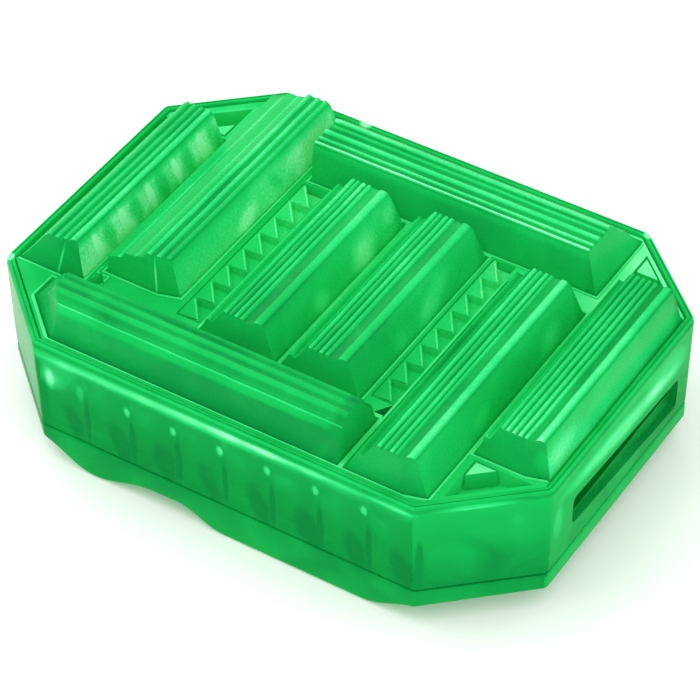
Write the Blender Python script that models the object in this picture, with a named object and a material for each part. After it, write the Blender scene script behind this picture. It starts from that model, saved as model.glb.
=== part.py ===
"""A hand-held honing block of clear green plastic.

An eight-sided case holds a flat deck. Eight ribbed honing bars sit in shallow seats on the deck,
with two saw-toothed strips and three corner blocks between them. Two combs of upright ribs stand
inside the case under the deck, and a rounded base closes it. Units are metres, +Z is up, +X is the
long axis towards the end with the slot, and the origin is under the middle of the base.
"""

import math

import bmesh
import bpy
from mathutils import Vector

MM = 0.001
GAP = 0.3 * MM

# Plan of the case, measured over the rim.
LENGTH = 96.0 * MM
WIDTH = 69.6 * MM
CHAMFER_X = 14.9 * MM
CHAMFER_Y = 13.4 * MM

# Heights above the surface that the block rests on.
SEAM_Z = 6.7 * MM
RIM_Z = 24.0 * MM
DECK_TOP_Z = 23.6 * MM
DECK_UNDER_Z = 19.1 * MM
CREST_Z = 31.0 * MM

WALL = 1.2 * MM
DRAFT = 0.35 * MM
LIP_ROUND = 0.45 * MM

# Underside of the base along its length, as (X, height): a flat stretch that the block rests on,
# a shallow arch, a rounded foot, and both ends swept up.
UNDERSIDE = (
    (-48.0, 4.1),
    (-34.5, 4.1),
    (-24.0, 0.0),
    (-13.0, 2.5),
    (-8.5, 2.6),
    (-0.5, 0.0),
    (24.0, 0.0),
    (34.0, 3.2),
    (48.0, 3.4),
)
SPIGOT_WALL = 1.2 * MM
SPIGOT_RISE = 1.5 * MM
BASE_STATIONS = 34
BASE_END_STATION = 0.86
# The rounded lower edge, as (distance in from the wall, height above the underside).
BASE_EDGE = ((0.9 * MM, 0.0), (0.5 * MM, 0.3 * MM), (0.4 * MM, 0.8 * MM))

# Seats, channels and pockets in the deck.
SEAT_DEPTH = 1.0 * MM
POCKET_DEPTH = 3.0 * MM
CUTTER_RISE = 1.0 * MM

# Cross-sections of the honing bars. Distances run from the foot of the steep side and drops from the
# crest: the steep side's points as (distance, drop), the ridges as (middle, half-width), and the long
# slope's points as (share of the slope's run, drop).
SECTIONS = {
    "middle": (
        ((1.4, 0.8),),
        ((2.45, 0.85), (4.9, 0.45), (5.9, 0.4), (6.9, 0.4), (7.8, 0.4)),
        ((0.38, 3.4), (0.52, 2.9)),
    ),
    "front_right": (
        ((1.45, 0.8),),
        ((2.5, 0.8), (4.6, 0.35), (5.45, 0.4), (6.5, 0.4), (7.5, 0.45)),
        ((0.38, 3.4), (0.52, 2.9)),
    ),
    "right_end": (
        ((0.75, 0.8),),
        ((1.65, 0.75), (3.6, 0.4), (4.6, 0.4), (5.6, 0.4), (6.6, 0.4), (7.5, 0.35)),
        ((0.38, 3.2), (0.6, 3.0)),
    ),
    "left_end": (
        ((0.5, 0.8),),
        ((1.25, 0.65), (2.5, 0.4), (3.8, 0.45), (5.1, 0.4)),
        ((0.33, 2.7), (0.67, 5.2)),
    ),
    "rear_left": (
        ((0.9, 0.8),),
        ((1.6, 0.5), (3.1, 0.5), (4.7, 0.5)),
        ((0.1, 1.5), (0.5, 2.0), (0.62, 3.2), (0.93, 3.7)),
    ),
    "rear": (
        ((0.85, 0.8),),
        ((1.25, 0.25), (2.55, 0.35), (4.35, 0.6), (5.9, 0.35), (7.4, 0.5)),
        ((0.38, 3.4), (0.52, 2.9)),
    ),
    "front": (
        ((0.6, 2.4), (1.4, 1.5), (1.6, 1.25), (2.4, 1.1)),
        ((3.3, 0.75), (5.2, 0.7), (6.7, 0.5)),
        ((0.38, 3.4), (0.52, 2.9)),
    ),
}
RIDGE_BEVEL = 0.2 * MM
RIDGE_DEPTH = 0.5 * MM
FOOT_HEIGHT = 0.6 * MM

# Near-end corner facet of a bar.
FACET_WIDTH = 3.6 * MM
FACET_SLOPE = 0.3
FAR_END_LEAN = 0.28

# How far the front bar's left-hand foot is cut back along the case's chamfer.
FRONT_BAR_CUT = 7.4 * MM
FRONT_BAR_END_LEAN = 0.85
FRONT_BAR_CUT_LEAN = 0.35

# Each bar: name, section, long axis, low and high X, low and high Y. "Y" bars have their steep side
# towards +X; the front and rear bars have theirs towards -Y.
BARS = (
    ("bar_left_end", "left_end", "Y", -46.3, -35.1, -20.0, 19.2),
    ("bar_rear_left", "rear_left", "Y", -32.9, -20.2, -15.9, 30.7),
    ("bar_middle_left", "middle", "Y", -13.5, -0.2, -20.6, 16.9),
    ("bar_middle_right", "middle", "Y", 1.0, 14.5, -20.6, 16.9),
    ("bar_front_right", "front_right", "Y", 20.2, 33.4, -32.5, 13.6),
    ("bar_right_end", "right_end", "Y", 34.7, 46.3, -20.3, 20.2),
    ("bar_front", "front", "X", -38.9, 18.9, -32.5, -21.7),
    ("bar_rear", "rear", "X", -18.0, 32.8, 18.2, 32.3),
)

# Toothed strips: name, low and high X, first tooth's Y.
STRIP_TEETH = 8
STRIP_PITCH = 4.35 * MM
STRIP_SPINE = 0.4 * MM
STRIPS = (
    ("toothed_strip_left", -18.5, -14.7, -17.9),
    ("toothed_strip_right", 15.7, 19.1, -17.6),
)
STRIP_FLOOR_DROP = 1.5 * MM

# Corner pockets: name, corner point, the signs of X and Y that lead to the chamfer, and the leg's
# length. A block fills the pocket's inner corner, or in the rear right pocket its far part.
BLOCK_SHRINK = 0.9
BLOCK_START = 4.6 * MM
BLOCK_LEAN = 0.12
FAR_BLOCK = "corner_block_rear_right"
CORNERS = (
    ("corner_block_front_right", 35.2, -21.3, 1, -1, 9.6),
    ("corner_block_rear_right", 35.0, 21.3, 1, 1, 10.0),
    ("corner_block_rear_left", -35.6, 20.2, -1, 1, 9.2),
)

# Upright ribs under the deck.
RIB_PITCH = 8.27 * MM
RIBS_EACH_SIDE = 3
RIB_WIDTH = 1.1 * MM
COMB_THICKNESS = 2.0 * MM
COMB_HALF_LENGTH = 31.0 * MM
COMB_RAIL = 1.6 * MM

# End slot, as (Y, height) corners on the +X wall.
SLOT_CORNERS = ((-14.6, 16.6), (17.6, 14.4), (17.6, 8.6), (-14.6, 11.2))
SLOT_ROUND = 1.0 * MM
SLOT_REACH_IN = 5.0 * MM
SLOT_REACH_OUT = 2.0 * MM


def clear_scene():
    for item in list(bpy.data.objects):
        bpy.data.objects.remove(item)


def plastic(name, colour, roughness):
    material = bpy.data.materials.new(name)
    material.use_nodes = True
    shader = material.node_tree.nodes["Principled BSDF"]
    shader.inputs["Base Color"].default_value = (*colour, 1.0)
    shader.inputs["Roughness"].default_value = roughness
    shader.inputs["Metallic"].default_value = 0.0
    shader.inputs["Transmission Weight"].default_value = 0.3
    material.diffuse_color = (*colour, 1.0)
    return material


def add_object(name, mesh_builder, material):
    bmesh.ops.recalc_face_normals(mesh_builder, faces=mesh_builder.faces)
    mesh = bpy.data.meshes.new(name)
    mesh_builder.to_mesh(mesh)
    mesh_builder.free()
    mesh.materials.append(material)
    item = bpy.data.objects.new(name, mesh)
    bpy.context.collection.objects.link(item)
    return item


def octagon(inset):
    """The case's plan, moved inwards by the same distance on every side."""
    slant = math.hypot(CHAMFER_X, CHAMFER_Y)
    half_x = LENGTH / 2 - inset
    half_y = WIDTH / 2 - inset
    shortening = inset * (slant - CHAMFER_X - CHAMFER_Y)
    trim_x = CHAMFER_X + shortening / CHAMFER_Y
    trim_y = CHAMFER_Y + shortening / CHAMFER_X
    return [
        (-half_x, -half_y + trim_y),
        (-half_x + trim_x, -half_y),
        (half_x - trim_x, -half_y),
        (half_x, -half_y + trim_y),
        (half_x, half_y - trim_y),
        (half_x - trim_x, half_y),
        (-half_x + trim_x, half_y),
        (-half_x, half_y - trim_y),
    ]


def ring_of(builder, outline, height):
    return [builder.verts.new((x, y, height)) for x, y in outline]


def wall_between(builder, low, high):
    count = len(low)
    for i in range(count):
        j = (i + 1) % count
        builder.faces.new((low[i], low[j], high[j], high[i]))


def prism(outline, low, high):
    builder = bmesh.new()
    bottom = ring_of(builder, outline, low)
    top = ring_of(builder, outline, high)
    wall_between(builder, bottom, top)
    builder.faces.new(list(reversed(bottom)))
    builder.faces.new(top)
    return builder


def rectangle(low_x, high_x, low_y, high_y):
    return [(low_x, low_y), (high_x, low_y), (high_x, high_y), (low_x, high_y)]


def cut_away(builder, point, normal):
    """Removes what lies on the normal's side of a plane and closes the cut."""
    geometry = builder.verts[:] + builder.edges[:] + builder.faces[:]
    cut = bmesh.ops.bisect_plane(
        builder,
        geom=geometry,
        dist=1e-7,
        plane_co=point,
        plane_no=normal.normalized(),
        clear_outer=True,
    )
    edges = [item for item in cut["geom_cut"] if isinstance(item, bmesh.types.BMEdge)]
    bmesh.ops.edgeloop_fill(builder, edges=edges)


def make_cutter(name, builders):
    """Joins closed shapes into one hidden object that a Boolean takes away."""
    joined = bmesh.new()
    for builder in builders:
        bmesh.ops.recalc_face_normals(builder, faces=builder.faces)
        spare = bpy.data.meshes.new(name + "_part")
        builder.to_mesh(spare)
        builder.free()
        joined.from_mesh(spare)
        bpy.data.meshes.remove(spare)
    mesh = bpy.data.meshes.new(name)
    joined.to_mesh(mesh)
    joined.free()
    cutter = bpy.data.objects.new(name, mesh)
    cutter.hide_render = True
    cutter.display_type = "WIRE"
    bpy.context.collection.objects.link(cutter)
    return cutter


def subtract(item, cutter):
    modifier = item.modifiers.new("cut_" + cutter.name, "BOOLEAN")
    modifier.operation = "DIFFERENCE"
    modifier.solver = "EXACT"
    modifier.object = cutter


def base_rise(x):
    """Height of the underside at x, eased smoothly from each given point to the next."""
    for (low_x, low_z), (high_x, high_z) in zip(UNDERSIDE, UNDERSIDE[1:]):
        if x <= high_x * MM:
            share = (x / MM - low_x) / (high_x - low_x)
            ease = (1.0 - math.cos(math.pi * share)) / 2
            return (low_z + (high_z - low_z) * ease) * MM
    return UNDERSIDE[-1][1] * MM


def case_half_width(x, inset):
    """Half the width of the plan at x."""
    straight = WIDTH / 2 - inset
    from_end = LENGTH / 2 - inset - abs(x)
    end_half = octagon(inset)[4][1]
    slope = CHAMFER_Y / CHAMFER_X
    return min(straight, end_half + slope * from_end)


def base_outline(inset, stations):
    reach = LENGTH / 2 - inset
    columns = [x * reach / (LENGTH / 2) for x in stations]
    front = [(x, -case_half_width(x, inset)) for x in columns]
    rear = [(x, case_half_width(x, inset)) for x in reversed(columns)]
    return front + rear


def build_base(material):
    builder = bmesh.new()
    half = LENGTH / 2
    corner = half - CHAMFER_X
    inner = [corner * (2 * k / BASE_STATIONS - 1) for k in range(BASE_STATIONS + 1)]
    near_end = half * BASE_END_STATION
    stations = [-half, -near_end, *inner, near_end, half]
    count = len(stations)
    # The outer skin, from the rounded lower edge up to the seam.
    rings = []
    for inset, lift in BASE_EDGE:
        outline = base_outline(inset, stations)
        rings.append([builder.verts.new((x, y, base_rise(x) + lift)) for x, y in outline])
    seam = SEAM_Z - GAP
    rings.append(ring_of(builder, base_outline(DRAFT, stations), seam))
    # The spigot that stands up inside the case wall.
    spigot_out = WALL + DRAFT + GAP
    spigot_in = spigot_out + SPIGOT_WALL
    rings.append(ring_of(builder, base_outline(spigot_out, stations), seam))
    rings.append(ring_of(builder, base_outline(spigot_out, stations), seam + SPIGOT_RISE))
    rings.append(ring_of(builder, base_outline(spigot_in, stations), seam + SPIGOT_RISE))
    rings.append(ring_of(builder, base_outline(spigot_in, stations), seam))
    for low, high in zip(rings, rings[1:]):
        wall_between(builder, low, high)
    for ring in (rings[0], rings[-1]):
        for i in range(count - 1):
            builder.faces.new((ring[i], ring[i + 1], ring[-2 - i], ring[-1 - i]))
    return add_object("base", builder, material)


def slot_cutter():
    builder = bmesh.new()
    corners = [Vector((y * MM, z * MM)) for y, z in SLOT_CORNERS]
    outline = []
    for i, corner in enumerate(corners):
        before = (corners[i - 1] - corner).normalized()
        after = (corners[(i + 1) % len(corners)] - corner).normalized()
        outline.append(corner + before * SLOT_ROUND)
        outline.append(corner + (before + after) * SLOT_ROUND * (1.0 - math.sqrt(0.5)))
        outline.append(corner + after * SLOT_ROUND)
    near = LENGTH / 2 - SLOT_REACH_IN
    far = LENGTH / 2 + SLOT_REACH_OUT
    low = [builder.verts.new((near, y, z)) for y, z in outline]
    high = [builder.verts.new((far, y, z)) for y, z in outline]
    wall_between(builder, low, high)
    builder.faces.new(list(reversed(low)))
    builder.faces.new(high)
    return make_cutter("slot_shape", [builder])


def build_case(material):
    """An open eight-sided tube with a rounded lip and a long slot through its right-hand end."""
    builder = bmesh.new()
    levels = (
        (DRAFT, SEAM_Z),
        (0.0, RIM_Z - LIP_ROUND),
        (LIP_ROUND * 0.3, RIM_Z - LIP_ROUND * 0.3),
        (LIP_ROUND, RIM_Z),
        (WALL - LIP_ROUND * 0.5, RIM_Z),
        (WALL, RIM_Z - LIP_ROUND * 0.5),
        (WALL + DRAFT, SEAM_Z),
    )
    rings = [ring_of(builder, octagon(inset), height) for inset, height in levels]
    for low, high in zip(rings, rings[1:] + rings[:1]):
        wall_between(builder, low, high)
    case = add_object("outer_case", builder, material)
    subtract(case, slot_cutter())
    return case


def corner_triangle(x, y, sign_x, sign_y, leg):
    """Plan of a corner pocket, with its slanting side along the case's chamfer."""
    points = [(x, y), (x + sign_x * leg, y), (x, y + sign_y * leg * CHAMFER_Y / CHAMFER_X)]
    if sign_x * sign_y < 0:
        points.reverse()
    return points


def footprint(name, axis, low_x, high_x, low_y, high_y, margin):
    """Plan of a bar's foot, grown by a margin, with its blunted corner."""
    left = low_x * MM - margin
    right = high_x * MM + margin
    near = low_y * MM - margin
    far = high_y * MM + margin
    if axis == "Y":
        facet_x = right - FACET_WIDTH
        facet_y = near + FACET_WIDTH * FACET_SLOPE
        return [(left, near), (facet_x, near), (right, facet_y), (right, far), (left, far)]
    if name == "bar_front":
        cut_x = left + FRONT_BAR_CUT
        cut_y = near + FRONT_BAR_CUT * CHAMFER_Y / CHAMFER_X
        return [(left, cut_y), (cut_x, near), (right, near), (right, far), (left, far)]
    return rectangle(left, right, near, far)


def build_deck(material):
    inset = WALL + GAP
    builder = prism(octagon(inset), DECK_UNDER_Z, DECK_TOP_Z)
    deck = add_object("deck", builder, material)
    above = DECK_TOP_Z + CUTTER_RISE
    shapes = []
    for name, _, *extent in BARS:
        shapes.append(prism(footprint(name, *extent, GAP), DECK_TOP_Z - SEAT_DEPTH, above))
    for _, low_x, high_x, low_y in STRIPS:
        end = low_y * MM + STRIP_TEETH * STRIP_PITCH
        outline = rectangle(low_x * MM - GAP, high_x * MM + GAP, low_y * MM - GAP, end + GAP)
        shapes.append(prism(outline, DECK_TOP_Z - POCKET_DEPTH, above))
    for _, x, y, sign_x, sign_y, leg in CORNERS:
        outline = corner_triangle(x * MM, y * MM, sign_x, sign_y, leg * MM)
        shapes.append(prism(outline, DECK_TOP_Z - POCKET_DEPTH, above))
    subtract(deck, make_cutter("deck_recesses", shapes))
    return deck


def bar_profile(section, width):
    """Outline of a bar's cross-section as (distance from the steep side, height) points."""
    steep, ridges, slope = SECTIONS[section]
    height = CREST_Z - DECK_TOP_Z + SEAT_DEPTH - GAP
    valley = height - RIDGE_DEPTH
    points = [(0.0, 0.0), (0.0, FOOT_HEIGHT)]
    for distance, drop in steep:
        points.append((distance * MM, height - drop * MM))
    for middle, half in ridges:
        start = (middle - half) * MM
        end = (middle + half) * MM
        points.append((start, valley))
        points.append((start + RIDGE_BEVEL, height))
        points.append((end - RIDGE_BEVEL, height))
        points.append((end, valley))
    shoulder = points[-1][0]
    for share, drop in slope:
        points.append((shoulder + (width - shoulder) * share, height - drop * MM))
    points.append((width, FOOT_HEIGHT))
    points.append((width, 0.0))
    return points


def build_bar(name, section, axis, low_x, high_x, low_y, high_y, material):
    """A ribbed bar standing in its seat, with its near end upright and its far end leaning in."""
    low = Vector((low_x, low_y)) * MM
    high = Vector((high_x, high_y)) * MM
    foot = DECK_TOP_Z - SEAT_DEPTH + GAP
    along_y = axis == "Y"
    width = high.x - low.x if along_y else high.y - low.y
    builder = bmesh.new()
    ends = []
    for end in (low.y, high.y) if along_y else (low.x, high.x):
        ring = []
        for across, height in bar_profile(section, width):
            if along_y:
                place = (high.x - across, end, foot + height)
            else:
                place = (end, low.y + across, foot + height)
            ring.append(builder.verts.new(place))
        ends.append(ring)
    wall_between(builder, ends[0], ends[1])
    builder.faces.new(list(reversed(ends[0])))
    builder.faces.new(ends[1])
    shelf = foot + FOOT_HEIGHT
    if along_y:
        facet_at = Vector((high.x - FACET_WIDTH, low.y, foot))
        cut_away(builder, facet_at, Vector((FACET_SLOPE, -1.0, 0.0)))
        cut_away(builder, Vector((high.x, high.y, shelf)), Vector((0.0, 1.0, FAR_END_LEAN)))
    elif name == "bar_front":
        # The left-hand end leans back and follows the case's chamfer.
        cut_y = low.y + FRONT_BAR_CUT * CHAMFER_Y / CHAMFER_X
        lean = FRONT_BAR_CUT_LEAN * CHAMFER_X
        cut_away(builder, Vector((low.x, cut_y, shelf)), Vector((-CHAMFER_Y, -CHAMFER_X, lean)))
        cut_away(builder, Vector((low.x, high.y, shelf)), Vector((-1.0, 0.0, FRONT_BAR_END_LEAN)))
    else:
        cut_away(builder, Vector((high.x, high.y, shelf)), Vector((1.0, 0.0, FAR_END_LEAN)))
    return add_object(name, builder, material)


def build_strip(name, low_x, high_x, low_y, material):
    """A strip whose raised teeth are right-angled triangles in plan, joined by a thin spine."""
    left = low_x * MM
    right = high_x * MM
    notch = left + STRIP_SPINE
    under = DECK_TOP_Z - POCKET_DEPTH + GAP
    floor = DECK_TOP_Z - STRIP_FLOOR_DROP
    places = [low_y * MM + k * STRIP_PITCH for k in range(STRIP_TEETH + 1)]
    builder = bmesh.new()
    left_under = [builder.verts.new((left, y, under)) for y in (places[0], places[-1])]
    left_top = [builder.verts.new((left, y, DECK_TOP_Z)) for y in (places[0], places[-1])]
    right_under = [builder.verts.new((right, y, under)) for y in places]
    right_floor = [builder.verts.new((right, y, floor)) for y in places]
    tips = [builder.verts.new((right, y, DECK_TOP_Z)) for y in places[:-1]]
    notch_top = [builder.verts.new((notch, y, DECK_TOP_Z)) for y in places[1:]]
    notch_floor = [builder.verts.new((notch, y, floor)) for y in places[1:]]
    top = [left_top[0]]
    for k in range(STRIP_TEETH):
        top += [tips[k], notch_top[k]]
        # The tooth's slanting far side, the low floor beyond it, and the next tooth's near side.
        builder.faces.new((tips[k], right_floor[k], notch_floor[k], notch_top[k]))
        builder.faces.new((right_floor[k], right_floor[k + 1], notch_floor[k]))
        if k + 1 < STRIP_TEETH:
            builder.faces.new((notch_top[k], notch_floor[k], right_floor[k + 1], tips[k + 1]))
        builder.faces.new((right_under[k], right_under[k + 1], right_floor[k + 1], right_floor[k]))
    top.append(left_top[1])
    builder.faces.new(top)
    builder.faces.new((left_under[0], left_under[1], left_top[1], left_top[0]))
    builder.faces.new((left_under[0], *right_under, left_under[1]))
    builder.faces.new((left_under[0], right_under[0], right_floor[0], tips[0], left_top[0]))
    far_end = (right_under[-1], right_floor[-1], notch_floor[-1], notch_top[-1])
    builder.faces.new((left_under[1], *far_end, left_top[1]))
    return add_object(name, builder, material)


def build_corner_block(name, x, y, sign_x, sign_y, leg, material):
    """A small triangular block that fills one part of a corner pocket."""
    outline = corner_triangle(x * MM, y * MM, sign_x, sign_y, leg * MM)
    middle_x = sum(px for px, _ in outline) / 3
    middle_y = sum(py for _, py in outline) / 3
    outline = [
        (middle_x + (px - middle_x) * BLOCK_SHRINK, middle_y + (py - middle_y) * BLOCK_SHRINK)
        for px, py in outline
    ]
    under = DECK_TOP_Z - POCKET_DEPTH + GAP
    builder = prism(outline, under, DECK_TOP_Z)
    if name == FAR_BLOCK:
        edge = Vector((x * MM, y * MM + sign_y * BLOCK_START, under))
        facing = Vector((0.0, -sign_y, 0.0))
    else:
        edge = Vector((x * MM + sign_x * BLOCK_START, y * MM, under))
        facing = Vector((sign_x * CHAMFER_Y, sign_y * CHAMFER_X, 0.0)).normalized()
    cut_away(builder, edge, facing + Vector((0.0, 0.0, BLOCK_LEAN)))
    return add_object(name, builder, material)


def build_comb(name, side, material):
    """A rail with seven upright ribs, standing just inside the front or rear wall."""
    under = SEAM_Z + SPIGOT_RISE
    rail_top = under + COMB_RAIL
    rib_top = DECK_UNDER_Z - GAP
    outline = [(-COMB_HALF_LENGTH, under), (COMB_HALF_LENGTH, under), (COMB_HALF_LENGTH, rail_top)]
    for k in range(RIBS_EACH_SIDE, -RIBS_EACH_SIDE - 1, -1):
        middle = k * RIB_PITCH
        half = RIB_WIDTH / 2
        outline.append((middle + half, rail_top))
        outline.append((middle + half, rib_top - half))
        outline.append((middle + half * 0.5, rib_top))
        outline.append((middle - half * 0.5, rib_top))
        outline.append((middle - half, rib_top - half))
        outline.append((middle - half, rail_top))
    outline.append((-COMB_HALF_LENGTH, rail_top))
    outer_face = WIDTH / 2 - WALL - DRAFT - GAP
    inner_face = outer_face - COMB_THICKNESS
    builder = bmesh.new()
    near = [builder.verts.new((x, side * outer_face, z)) for x, z in outline]
    far = [builder.verts.new((x, side * inner_face, z)) for x, z in outline]
    wall_between(builder, near, far)
    builder.faces.new(list(reversed(near)))
    builder.faces.new(far)
    return add_object(name, builder, material)


def main():
    clear_scene()
    case_green = plastic("case_green", (0.02, 0.55, 0.12), 0.12)
    base_green = plastic("base_green", (0.02, 0.48, 0.10), 0.18)
    deck_green = plastic("deck_green", (0.02, 0.50, 0.11), 0.2)
    bar_green = plastic("bar_green", (0.03, 0.60, 0.15), 0.22)
    strip_green = plastic("strip_green", (0.05, 0.66, 0.18), 0.25)
    rib_green = plastic("rib_green", (0.01, 0.40, 0.08), 0.25)
    build_base(base_green)
    build_case(case_green)
    build_deck(deck_green)
    for bar in BARS:
        build_bar(*bar, bar_green)
    for name, low_x, high_x, low_y in STRIPS:
        build_strip(name, low_x, high_x, low_y, strip_green)
    for corner in CORNERS:
        build_corner_block(*corner, deck_green)
    build_comb("rib_comb_front", -1, rib_green)
    build_comb("rib_comb_rear", 1, rib_green)


main()
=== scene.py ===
"""The look of a clear green honing block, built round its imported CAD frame.

Every CAD piece is replaced by a finer mesh in the same place: the case with its rounded lip, the
swept base, the deck with its raised beads, the ribbed bars, the toothed strips, the corner blocks
and the rib combs that show through the wall. Lengths are in metres, +Z is up.
"""

import math

import bmesh
import bpy
from mathutils import Matrix, Vector, noise


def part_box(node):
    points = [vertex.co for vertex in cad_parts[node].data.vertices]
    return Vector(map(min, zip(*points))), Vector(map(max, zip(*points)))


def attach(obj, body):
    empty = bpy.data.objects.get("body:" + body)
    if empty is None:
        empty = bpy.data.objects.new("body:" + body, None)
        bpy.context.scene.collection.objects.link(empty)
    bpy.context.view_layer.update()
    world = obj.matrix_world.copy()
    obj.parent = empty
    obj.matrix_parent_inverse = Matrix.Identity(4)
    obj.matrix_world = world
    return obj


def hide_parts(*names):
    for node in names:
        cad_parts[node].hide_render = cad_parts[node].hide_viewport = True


MM = 0.001
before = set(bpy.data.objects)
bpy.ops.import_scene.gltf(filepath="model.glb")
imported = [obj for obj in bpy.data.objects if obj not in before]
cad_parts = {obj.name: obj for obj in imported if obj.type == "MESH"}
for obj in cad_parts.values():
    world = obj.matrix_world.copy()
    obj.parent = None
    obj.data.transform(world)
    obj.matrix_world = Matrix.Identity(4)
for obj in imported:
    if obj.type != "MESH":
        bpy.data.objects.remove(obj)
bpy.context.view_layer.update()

# Places read from the frame.
CASE_LOW, CASE_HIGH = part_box("outer_case")
BASE_LOW, BASE_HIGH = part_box("base")
DECK_LOW, DECK_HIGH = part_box("deck")
DECK_TOP = DECK_HIGH.z

# Plan of the case.
CHAMFER_X = 14.9 * MM
CHAMFER_Y = 13.4 * MM
CORNER_RADIUS = 1.6 * MM
CORNER_STEPS = 6
WALL = 1.2 * MM
DRAFT = 0.35 * MM
GAP = 0.3 * MM
# How far a raised line reaches down into what carries it, and a cutter stands above what it cuts.
SINK = 0.3 * MM
CUTTER_RISE = 1.0 * MM

# Section of the lip: how far the rounding runs down the wall and in over the rim.
LIP_DROP = 1.3 * MM
LIP_RUN = 0.34 * MM
LIP_STEPS = 7
# Groove round the flat of the rim.
RIM_GROOVE = 0.25 * MM
# How far the wall's lower edge is drawn in at the seam, and how high above the seam that ends.
SEAM_INSET = 0.25 * MM
SEAM_HEIGHT = 0.35 * MM
WALL_LEVELS = 6

# Underside of the base along its length, as (X, height).
UNDERSIDE = (
    (-48.0, 4.1),
    (-34.5, 4.1),
    (-24.0, 0.0),
    (-13.0, 2.5),
    (-8.5, 2.6),
    (-0.5, 0.0),
    (24.0, 0.0),
    (34.0, 3.2),
    (48.0, 3.4),
)
BASE_STATIONS = 60
BASE_EDGE_RADIUS = 0.7 * MM
BASE_EDGE_STEPS = 6

# Deck.
SEAT_DEPTH = 1.0 * MM
POCKET_DEPTH = 3.0 * MM
BEAD_WIDTH = 0.34 * MM
BEAD_RISE = 0.2 * MM
FOOT_GAP = 0.3 * MM

# Cross-sections of the bars. Distances run from the foot of the steep side and drops from the crest.
# The steep side's points are (distance, drop, painted light), the ridges are (middle, half-width,
# painted light) and the long slope's points are (share of the slope's run, drop, painted light).
SECTIONS = {
    "middle": (
        ((1.4, 0.8, 0.3),),
        ((2.45, 0.8, 0.5), (4.9, 0.42, 0.46), (5.9, 0.4, 0.58), (6.9, 0.36, 0.36), (7.8, 0.4, 0.52)),
        ((0.1, 0.95, 0.3), (0.36, 3.2, 0.4), (0.44, 3.4, 0.3), (0.52, 2.95, 0.46), (0.6, 3.2, 0.4)),
    ),
    "front_right": (
        ((1.45, 0.8, 0.3),),
        ((2.5, 0.75, 0.68), (4.6, 0.35, 0.44), (5.45, 0.4, 0.58), (6.5, 0.4, 0.4), (7.5, 0.42, 0.58)),
        ((0.1, 0.95, 0.14), (0.36, 3.2, 0.2), (0.44, 3.4, 0.12), (0.52, 2.95, 0.3), (0.6, 3.2, 0.2)),
    ),
    "right_end": (
        ((0.7, 0.8, 0.45),),
        ((1.65, 0.72, 0.75), (3.6, 0.38, 0.55), (4.6, 0.4, 0.62), (5.6, 0.4, 0.56), (6.6, 0.4, 0.54),
         (7.5, 0.33, 0.44)),
        ((0.1, 0.85, 0.36), (0.38, 3.1, 0.42), (0.5, 3.3, 0.3), (0.6, 2.95, 0.46)),
    ),
    "left_end": (
        ((0.5, 0.8, 0.5),),
        ((1.25, 0.62, 0.66), (2.5, 0.4, 0.5), (3.8, 0.45, 0.5), (5.1, 0.4, 0.48)),
        ((0.08, 0.7, 0.5), (0.34, 2.7, 0.62), (0.67, 5.2, 0.5)),
    ),
    "rear_left": (
        ((0.9, 0.8, 0.42),),
        ((1.6, 0.45, 0.46), (3.1, 0.5, 0.54), (4.7, 0.5, 0.6)),
        ((0.08, 1.3, 0.3), (0.2, 1.5, 0.34), (0.26, 1.7, 0.64), (0.3, 1.8, 0.28), (0.5, 1.95, 0.38),
         (0.54, 2.1, 0.22), (0.6, 3.1, 0.34), (0.68, 3.3, 0.7), (0.74, 3.4, 0.36), (0.95, 4.0, 0.4)),
    ),
    "rear": (
        ((0.8, 0.8, 0.35),),
        ((1.25, 0.25, 0.95), (2.55, 0.35, 0.72), (4.35, 0.6, 0.68), (5.9, 0.35, 0.45), (7.4, 0.5, 0.75)),
        ((0.1, 0.75, 0.42), (0.36, 2.9, 0.5), (0.5, 3.2, 0.45)),
    ),
    "front": (
        ((0.6, 2.4, 0.02), (0.95, 2.0, 0.22), (1.4, 1.5, 0.24), (1.6, 1.25, 0.7), (1.8, 1.35, 0.14),
         (2.4, 1.1, 0.12)),
        ((3.3, 0.72, 0.28), (5.2, 0.66, 0.26), (6.7, 0.45, 0.14)),
        ((0.1, 0.95, 0.2), (0.36, 3.1, 0.25), (0.44, 3.35, 0.2), (0.52, 2.95, 0.34), (0.6, 3.2, 0.3)),
    ),
}
RIDGE_DEPTH = 0.42 * MM
# Painted shade in the grooves between ridges.
VALLEY_GLOW = 0.08
# Points across a ridge, as shares of its half-width.
RIDGE_SHARES = (-1.0, -0.8, -0.4, 0.0, 0.4, 0.8, 1.0)
FOOT_HEIGHT = 0.6 * MM
STEEP_STEPS = 5
BAR_STATION = 1.2 * MM
# How far a bar's points stray from true, how quickly that changes, and the noise's own seed.
WOBBLE = 0.05 * MM
WOBBLE_SCALE = 220.0
NOISE_SEED = 1
# Painted streaks of light down a bar: how strong, and how often they change along it and across it.
STREAK = 0.16
STREAK_ALONG = 60.0
STREAK_ACROSS = 900.0
FACET_WIDTH = 3.6 * MM
FACET_SLOPE = 0.3
FAR_END_LEAN = 0.28
FRONT_BAR_CUT = 7.4 * MM
FRONT_BAR_END_LEAN = 0.85
FRONT_BAR_CUT_LEAN = 0.35
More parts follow.
